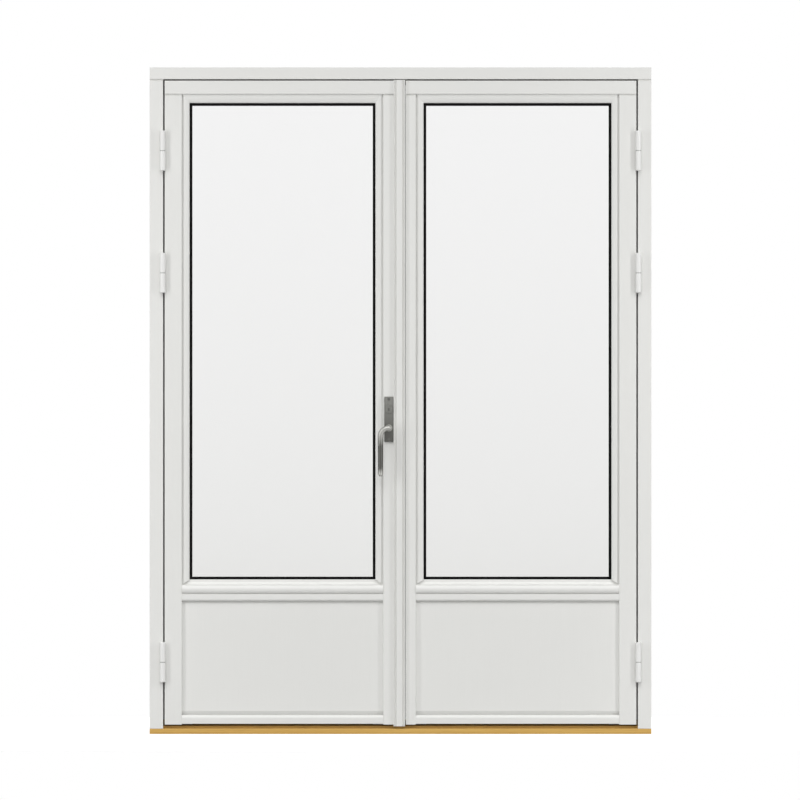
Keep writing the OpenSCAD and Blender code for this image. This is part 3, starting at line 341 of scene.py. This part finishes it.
# %% Hinges and hidden hardware
hinge_enamel = finish("white hinge enamel", srgb(234, 234, 232), srgb(229, 229, 227),
                      lines=(500.0, 500.0, 500.0), patches=12.0, smooth=0.3, rough=0.4,
                      depth=0.00002, Coat_Weight=0.2, Coat_Roughness=0.2)
dress(["hinge_frame_halves"] + on_both_leaves("hinge_halves"), hinge_enamel)
zinc = finish("zinc plated steel", srgb(176, 177, 174), srgb(158, 160, 158),
              lines=(260.0, 260.0, 260.0), patches=30.0, smooth=0.28, rough=0.42,
              depth=0.00002, Metallic=1.0)
dress(["head_strikes", "threshold_strikes", "hinge_pins", "hinge_washers", "lock_case", "spindle",
       "lock_pinion", "upper_rod", "lower_rod", "upper_flush_bolt", "lower_flush_bolt"], zinc)
print("hinges and hidden hardware are ready")

# %% [markdown]
# ## Handle set
# The plate gets darker towards its foot, which is painted shade, and on the lever the grip is
# darker than the neck and the tip, which is a painted reflection. Each could be cut into pieces of
# their own colour, but a real handle is one piece of metal. So a darker colour is mixed in by
# height, to paint this light and shade.

# %% Handle plates
PAINTED_SHADE_AT_FOOT = 0.9
plate_steel = finish("satin steel plate with painted shade", srgb(129, 129, 125), srgb(115, 115, 111),
                     lines=(1400.0, 1400.0, 25.0), patches=7.0, smooth=0.34, rough=0.46,
                     depth=0.00002, Metallic=1.0)
plate_low, plate_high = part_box("outer_plate")


def plate_painted_shade(tree):
    """Painted shade: no share at the top of the plate, and the most at its foot."""
    return height(tree, plate_low.z, plate_high.z, PAINTED_SHADE_AT_FOOT, 0.0)


# The darker colour is painted shade at the plate's foot, not a colour of the steel.
darken(plate_steel, plate_painted_shade, srgb(79, 79, 76))
dress(["outer_plate", "inner_plate", "thumb_turn", "lock_cylinder"], plate_steel)
screw_steel = finish("dark screw steel", srgb(104, 104, 101), srgb(92, 92, 89),
                     lines=(500.0, 500.0, 500.0), patches=9.0, smooth=0.3, rough=0.4,
                     depth=0.00001, Metallic=1.0)
print("plate from", round(plate_low.z, 3), "to", round(plate_high.z, 3))

# %% Levers
GRIP_BELOW, TIP_ABOVE = 0.045, 0.016
GRIP_FADE, TIP_FADE = 0.02, 0.008
lever_steel = finish("lever steel with painted reflection", srgb(160, 160, 156), srgb(148, 148, 144),
                     lines=(900.0, 900.0, 20.0), patches=9.0, smooth=0.34, rough=0.44,
                     depth=0.00002, Metallic=1.0)
lever_low, lever_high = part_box("outer_lever")
grip_top, grip_foot = lever_high.z - GRIP_BELOW, lever_low.z + TIP_ABOVE


def grip_painted_reflection(tree):
    """Painted reflection: the dark grip between the elbow and the tip."""
    below = height(tree, grip_top - GRIP_FADE, grip_top + GRIP_FADE, 1.0, 0.0)
    above = height(tree, grip_foot - TIP_FADE, grip_foot + TIP_FADE)
    return combine(tree, "MULTIPLY", below, above)


# The darker colour is a painted reflection on the grip, not a colour of the steel.
darken(lever_steel, grip_painted_reflection, srgb(80, 80, 77))
dress(["outer_lever", "inner_lever"], lever_steel)
print("lever from", round(lever_low.z, 3), "to", round(lever_high.z, 3))

# %% [markdown]
# ## Screws
# The CAD screws are plain: a head, a shank and a point. A real one has a cross cut into its
# head. The screws repeat over fifty times, so one screw is built in Geometry Nodes and placed on
# points. The points come from the CAD screws themselves: each loose part of a screw solid gives
# the middle of its head and the way it faces, so no place is written twice.

# %% Find the screws
SCREW_NODES = {"frame_screws": "frame", "hinge_frame_screws": "frame",
               "left_hinge_screws": "left_leaf", "right_hinge_screws": "right_leaf",
               "plate_screws": "left_leaf"}
MERGE, SAME_END = 1e-6, 1e-4


def loose_parts(mesh):
    """The places of the vertices of each loose part of a mesh."""
    work = bmesh.new()
    work.from_mesh(mesh)
    bmesh.ops.remove_doubles(work, verts=work.verts, dist=MERGE)
    parts, seen = [], set()
    for start in work.verts:
        if start in seen:
            continue
        island, queue = [], [start]
        seen.add(start)
        while queue:
            vert = queue.pop()
            island.append(vert.co.copy())
            for edge in vert.link_edges:
                other = edge.other_vert(vert)
                if other not in seen:
                    seen.add(other)
                    queue.append(other)
        parts.append(island)
    work.free()
    return parts


def screw_place(points):
    """(middle of the head, direction it faces, length) of a screw, whose wider end is its head."""
    low, high = Vector(map(min, zip(*points))), Vector(map(max, zip(*points)))
    length = max(high - low)
    along = list(high - low).index(length)
    middle = (low + high) / 2
    widths = {}
    for end in (low[along], high[along]):
        ring = [p for p in points if abs(p[along] - end) < SAME_END]
        widths[end] = max(sum((p[i] - middle[i]) ** 2 for i in range(3) if i != along)
                          for p in ring)
    head = max(widths, key=widths.get)
    aim = Vector((0, 0, 0))
    aim[along] = 1 if head == high[along] else -1
    middle[along] = head
    return middle, aim, round(length, 4)


SCREWS = {name: [screw_place(part) for part in loose_parts(nodes[name].data)]
          for name in SCREW_NODES}
print("screws found:", {name: len(places) for name, places in SCREWS.items()})

# %% [markdown]
# A screw is a flat cone for the head and a long one for the shank, less two crossed bars. The
# shank reaches into the head, and the bars are cut one after the other, the second a little
# deeper. So no two faces lie in one plane, and the cuts leave a closed screw.

# %% A screw in Geometry Nodes
SCREW_SIZES = {"Head radius": 0.004, "Head height": 0.0022, "Shank radius": 0.002,
               "Slot length": 0.0046, "Slot width": 0.0009, "Slot depth": 0.0011}
HEAD_SIDES, SHANK_SIDES = 32, 16
TIP_SHARE, HIDDEN_SHARE = 0.5, 0.5
SECOND_CUT_SHARE = 1.05


def screw_shape(tree, enter):
    """A screw with a cross cut into its head. The middle of the head's face is the origin."""

    def size_of(part):
        """A size of the group by its name, or else a socket or a number as it is."""
        return enter.outputs[part] if isinstance(part, str) else part

    def value(operation, a, b):
        return combine(tree, operation, size_of(a), size_of(b))

    def shifted(shape, drop, turn=0.0):
        place = add(tree, "ShaderNodeCombineXYZ")
        tree.links.new(value("MULTIPLY", drop, -1.0), place.inputs["Z"])
        made = add(tree, "GeometryNodeTransform")
        made.inputs["Rotation"].default_value = (0, 0, turn)
        tree.links.new(shape, made.inputs["Geometry"])
        tree.links.new(place.outputs["Vector"], made.inputs["Translation"])
        return made.outputs["Geometry"]

    def cone(top, bottom, depth, sides):
        made = add(tree, "GeometryNodeMeshCone")
        made.inputs["Vertices"].default_value = sides
        for name, part in (("Radius Top", top), ("Radius Bottom", bottom), ("Depth", depth)):
            tree.links.new(size_of(part), made.inputs[name])
        return made.outputs["Mesh"]

    def bar(depth_share):
        # Half of a bar stands out of the head, so it is twice as deep as its slot.
        size = add(tree, "ShaderNodeCombineXYZ")
        twice = value("MULTIPLY", "Slot depth", 2 * depth_share)
        for axis, part in (("X", "Slot length"), ("Y", "Slot width"), ("Z", twice)):
            tree.links.new(size_of(part), size.inputs[axis])
        made = add(tree, "GeometryNodeMeshCube")
        tree.links.new(size.outputs["Vector"], made.inputs["Size"])
        return made.outputs["Mesh"]

    head = shifted(cone("Head radius", "Shank radius", "Head height", HEAD_SIDES), "Head height")
    shank_length = value("SUBTRACT", "Length", value("MULTIPLY", "Head height", HIDDEN_SHARE))
    tip_radius = value("MULTIPLY", "Shank radius", TIP_SHARE)
    shank = shifted(cone("Shank radius", tip_radius, shank_length, SHANK_SIDES), "Length")
    screw = add(tree, "GeometryNodeMeshBoolean", operation="UNION", solver="EXACT")
    for shape in (head, shank):
        tree.links.new(shape, screw.inputs["Mesh 2"])
    for turn, depth_share in ((0.0, 1.0), (math.pi / 2, SECOND_CUT_SHARE)):
        cut = add(tree, "GeometryNodeMeshBoolean", operation="DIFFERENCE", solver="EXACT")
        tree.links.new(screw.outputs["Mesh"], cut.inputs["Mesh 1"])
        tree.links.new(shifted(bar(depth_share), 0.0, turn), cut.inputs["Mesh 2"])
        screw = cut
    return screw.outputs["Mesh"]


print("a screw has", len(SCREW_SIZES) + 1, "sizes")

# %% [markdown]
# Screws are driven in by hand, so their slots don't line up. Each is turned on from the one before
# by a fixed angle that never comes round to the same place.

# %% Screws on points
def on_points(tree, enter, shape):
    """The shape on each point, facing its aim and turned by its spin."""

    def attribute(name, kind):
        made = add(tree, "GeometryNodeInputNamedAttribute", data_type=kind)
        made.inputs["Name"].default_value = name
        return made.outputs["Attribute"]

    facing = add(tree, "FunctionNodeAlignRotationToVector", axis="Z")
    tree.links.new(attribute("aim", "FLOAT_VECTOR"), facing.inputs["Vector"])
    spin = add(tree, "FunctionNodeAxisAngleToRotation")
    spin.inputs["Axis"].default_value = (0, 0, 1)
    tree.links.new(attribute("spin", "FLOAT"), spin.inputs["Angle"])
    turned = add(tree, "FunctionNodeRotateRotation", rotation_space="LOCAL")
    tree.links.new(facing.outputs["Rotation"], turned.inputs["Rotation"])
    tree.links.new(spin.outputs["Rotation"], turned.inputs["Rotate By"])
    placed = add(tree, "GeometryNodeInstanceOnPoints")
    tree.links.new(enter.outputs["Points"], placed.inputs["Points"])
    tree.links.new(shape, placed.inputs["Instance"])
    tree.links.new(turned.outputs["Rotation"], placed.inputs["Rotation"])
    real = add(tree, "GeometryNodeRealizeInstances")
    tree.links.new(placed.outputs["Instances"], real.inputs["Geometry"])
    return real.outputs["Geometry"]


def make_screw_tree():
    """A node group that puts a screw with a cross slot on each point of a mesh."""
    tree = bpy.data.node_groups.new("Cross-slotted screws on points", "GeometryNodeTree")
    tree.interface.new_socket("Points", in_out="INPUT", socket_type="NodeSocketGeometry")
    for name in (*SCREW_SIZES, "Length"):
        tree.interface.new_socket(name, in_out="INPUT", socket_type="NodeSocketFloat")
    tree.interface.new_socket("Finish", in_out="INPUT", socket_type="NodeSocketMaterial")
    tree.interface.new_socket("Screws", in_out="OUTPUT", socket_type="NodeSocketGeometry")
    enter, leave = add(tree, "NodeGroupInput"), add(tree, "NodeGroupOutput")
    coat = add(tree, "GeometryNodeSetMaterial")
    screws = on_points(tree, enter, screw_shape(tree, enter))
    tree.links.new(screws, coat.inputs["Geometry"])
    tree.links.new(enter.outputs["Finish"], coat.inputs["Material"])
    tree.links.new(coat.outputs["Geometry"], leave.inputs["Screws"])
    return tree


SCREW_TREE = make_screw_tree()
print("screw tree nodes:", len(SCREW_TREE.nodes))

# %% Place the screws
GOLDEN_TURN = 2.39996


def plain_mesh(obj, name):
    """The evaluated shape of an object as a plain mesh object, without its modifiers."""
    graph = bpy.context.evaluated_depsgraph_get()
    mesh = bpy.data.meshes.new_from_object(obj.evaluated_get(graph))
    mesh.name = name
    obj.modifiers.clear()
    obj.data = mesh
    return obj


def place_screws(name, length, places, material):
    """A piece with one screw of this length at each place."""
    points = bpy.data.meshes.new(name)
    points.from_pydata([place for place, aim in places], [], [])
    points.attributes.new("aim", "FLOAT_VECTOR", "POINT").data.foreach_set(
        "vector", [part for place, aim in places for part in aim])
    points.attributes.new("spin", "FLOAT", "POINT").data.foreach_set(
        "value", [GOLDEN_TURN * i for i in range(len(places))])
    obj = bpy.data.objects.new(name, points)
    bpy.context.scene.collection.objects.link(obj)
    screws = obj.modifiers.new("screws", "NODES")
    screws.node_group = SCREW_TREE
    sizes = {**SCREW_SIZES, "Length": length, "Finish": material}
    for item in SCREW_TREE.interface.items_tree:
        if item.in_out == "INPUT" and item.name in sizes:
            screws[item.identifier] = sizes[item.name]
    return plain_mesh(obj, name)


for node_name, body in SCREW_NODES.items():
    on_plate = node_name == "plate_screws"
    for length in sorted({length for place, aim, length in SCREWS[node_name]}):
        places = [(place, aim) for place, aim, own in SCREWS[node_name] if own == length]
        piece_name = f"{node_name}_{round(length * 1000)}mm"
        piece = place_screws(piece_name, length, places, screw_steel if on_plate else zinc)
        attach(piece, body)
        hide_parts(node_name)
        print(piece.name, len(piece.data.polygons), "faces")

# %% [markdown]
# ## Floor and world
# The picture is a catalogue elevation, white all round. A studio that is bright enough to look
# white would also wash out the paint. So the floor and the world look white to the camera, in
# mirrors and through glass, and are dimmer where they only light the doors. The Light Path node
# tells the two kinds of ray apart.

# %% Which rays see the studio
def seen_directly(tree):
    """1 for a camera ray, a mirrored ray or a ray through glass, and 0 for one that only lights."""
    rays = add(tree, "ShaderNodeLightPath").outputs
    by_way = combine(tree, "MAXIMUM", rays["Is Glossy Ray"], rays["Is Transmission Ray"])
    return combine(tree, "MAXIMUM", rays["Is Camera Ray"], by_way)

# %% Floor
FLOOR_RADIUS, FLOOR_SIDES, FLOOR_GLOW = 3.2, 96, 0.3
FLOOR_AS_LIGHT = srgb(150, 150, 150)
WHITE = (1, 1, 1, 1)
bpy.ops.mesh.primitive_circle_add(
    vertices=FLOOR_SIDES, radius=FLOOR_RADIUS, fill_type="NGON", location=(0, 0, 0))
floor = bpy.context.object
floor.name = "studio_floor"
floor_paint = finish("pale studio floor", srgb(250, 250, 250), srgb(248, 248, 248),
                     lines=(30.0, 30.0, 30.0), patches=1.5, smooth=0.7, rough=0.8,
                     depth=0.00005)
floor_tree = floor_paint.node_tree
floor_skin = floor_tree.nodes["Principled BSDF"]
in_picture = seen_directly(floor_tree)
pale = floor_skin.inputs["Base Color"].links[0].from_socket
floor_colour = blend(floor_tree, in_picture, FLOOR_AS_LIGHT, pale)
floor_tree.links.new(floor_colour, floor_skin.inputs["Base Color"])
set_inputs(floor_skin, Emission_Color=WHITE)
floor_glow = spread(floor_tree, in_picture, 0.0, 1.0, 0.0, FLOOR_GLOW)
floor_tree.links.new(floor_glow, floor_skin.inputs["Emission Strength"])
floor.data.materials.append(floor_paint)
print("floor:", FLOOR_RADIUS, "m around the doors")

# %% World
world = bpy.data.worlds.new("white studio")
bpy.context.scene.world = world
world.use_nodes = True
sky = world.node_tree
AMBIENT = 0.27
glow = spread(sky, seen_directly(sky), 0.0, 1.0, AMBIENT, 1.0)
background = sky.nodes["Background"]
set_inputs(background, Color=WHITE)
sky.links.new(glow, background.inputs["Strength"])
print("world as a light:", AMBIENT)

# %% [markdown]
# ## Lamps
# In the photograph each leaf is brighter on its outer side. One lamp can't do that, so two tall
# soft boxes stand in front of the doors, one on each side, with a wide soft light from above. A
# fill behind the doors shows their inside. It is kept out of mirrors and glass, because its
# highlight would burn out the top of the frame.

# %% Lamps
centre = Vector((0, 0, 0.99))
BOX_X, BOX_Y, BOX_Z = 2.5, -1.8, 1.25
BOX_WIDTH, BOX_TALL, BOX_POWER = 0.5, 3.6, 33
SUN_HEIGHT_DEG, SUN_SPREAD_DEG, SUN_STRENGTH = 42, 45, 1.45
FILL_PLACE, FILL_SIZE, FILL_POWER = (2.2, 5.0, 2.2), 2.5, 190


def soft_lamp(name, place, width, tall, power):
    """A soft box that faces the doors."""
    lamp = bpy.data.lights.new(name, "AREA")
    lamp.shape, lamp.size, lamp.size_y, lamp.energy = "RECTANGLE", width, tall, power
    obj = bpy.data.objects.new(name, lamp)
    obj.location = place
    obj.rotation_euler = (centre - Vector(place)).to_track_quat("-Z", "Y").to_euler()
    bpy.context.scene.collection.objects.link(obj)
    return obj


def soft_sun(name, height_deg, spread_deg, strength):
    """A wide light from the front, at this height above the horizon."""
    lamp = bpy.data.lights.new(name, "SUN")
    lamp.energy, lamp.angle = strength, math.radians(spread_deg)
    obj = bpy.data.objects.new(name, lamp)
    obj.rotation_euler = (math.radians(90 - height_deg), 0, 0)
    bpy.context.scene.collection.objects.link(obj)
    return obj


for side in (-1, 1):
    soft_lamp("tall box", (side * BOX_X, BOX_Y, BOX_Z), BOX_WIDTH, BOX_TALL, BOX_POWER)
soft_sun("top light", SUN_HEIGHT_DEG, SUN_SPREAD_DEG, SUN_STRENGTH)
back_fill = soft_lamp("back fill", FILL_PLACE, FILL_SIZE, FILL_SIZE, FILL_POWER)
back_fill.visible_camera = back_fill.visible_glossy = back_fill.visible_transmission = False
print("lamps:", [lamp.name for lamp in bpy.data.lights])

# %% [markdown]
# ## Camera
# The picture has no perspective. A camera without any would do, but a very long lens from far away
# looks nearly the same, and other views of the doors can be framed with it as well.

# %% Camera
VIEW_WIDTH = 2.376
FAR, CLIP_END = 60.0, 200.0
SENSOR = 36.0
EYE_X, FACE_Y, EYE_Z = -0.0015, -0.0575, 0.992
camera = bpy.data.cameras.new("elevation")
camera.sensor_width = SENSOR
camera.lens = SENSOR * FAR / VIEW_WIDTH
camera.clip_end = CLIP_END
eye = bpy.data.objects.new("elevation", camera)
eye.location = (EYE_X, FACE_Y - FAR, EYE_Z)
eye.rotation_euler = (math.pi / 2, 0, 0)
bpy.context.scene.collection.objects.link(eye)
bpy.context.scene.camera = eye
bpy.context.scene.view_settings.view_transform = "Standard"
print("lens:", round(camera.lens), "mm from", FAR, "m")
